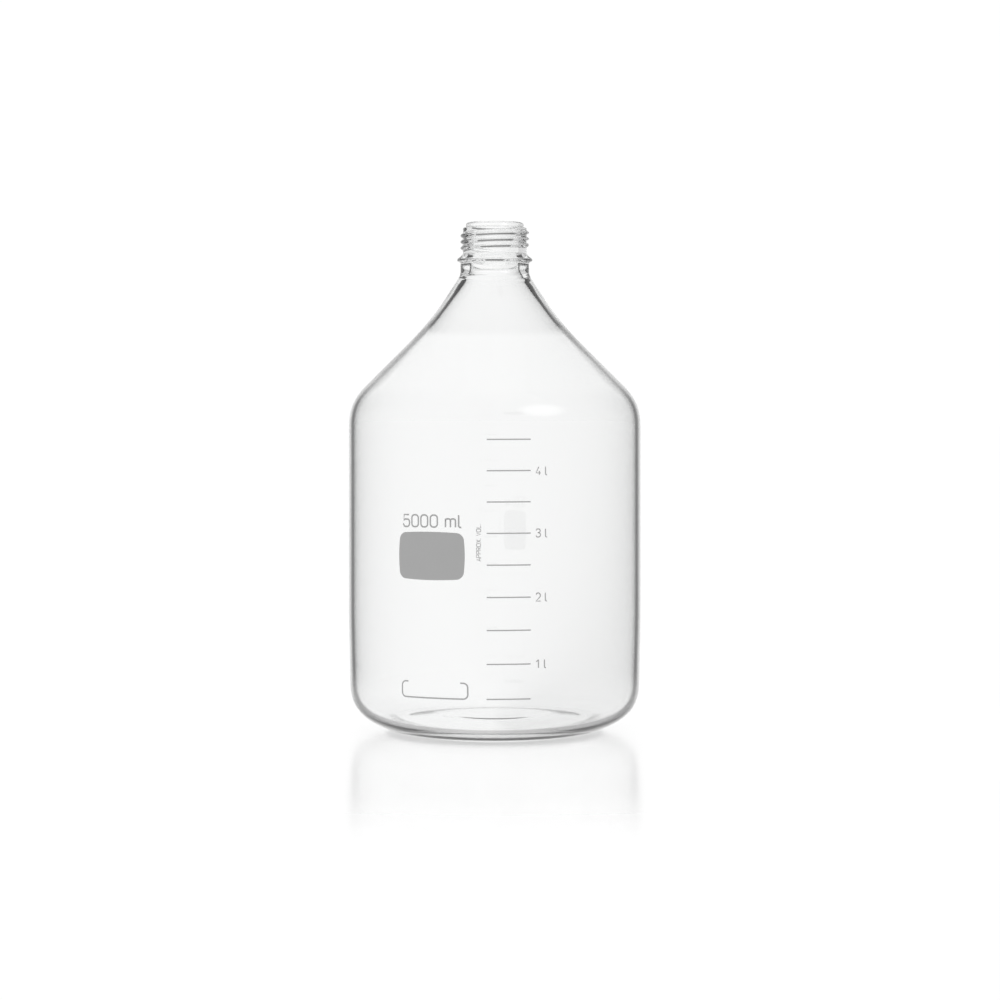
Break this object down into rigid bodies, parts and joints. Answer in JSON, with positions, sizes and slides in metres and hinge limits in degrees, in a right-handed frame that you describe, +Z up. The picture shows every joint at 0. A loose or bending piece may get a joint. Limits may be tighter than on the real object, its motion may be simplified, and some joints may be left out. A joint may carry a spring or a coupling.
{
  "type": "laboratory bottle",
  "caption": "Large round clear-glass laboratory bottle with conical shoulder, beaded screw neck, graduated scale and writing field; open mouth, no cap.",
  "frame": {"origin": "centre of the standing ring, on the plane that the bottle stands on", "axes": "+Z up along the bottle's axis to the mouth; -Y is the side between the scale and the writing field, which faces the viewer; +X to the viewer's right"},
  "size_m": [0.19, 0.1901, 0.33],
  "materials": {
    "glass": "clear borosilicate glass, fire polished",
    "enamel": "white ceramic enamel fired onto the glass"
  },
  "bodies": {
    "root": {"bottle": "glass", "graduation_scale": "enamel", "writing_field": "enamel", "code_frame": "enamel"}
  },
  "joints": []
}
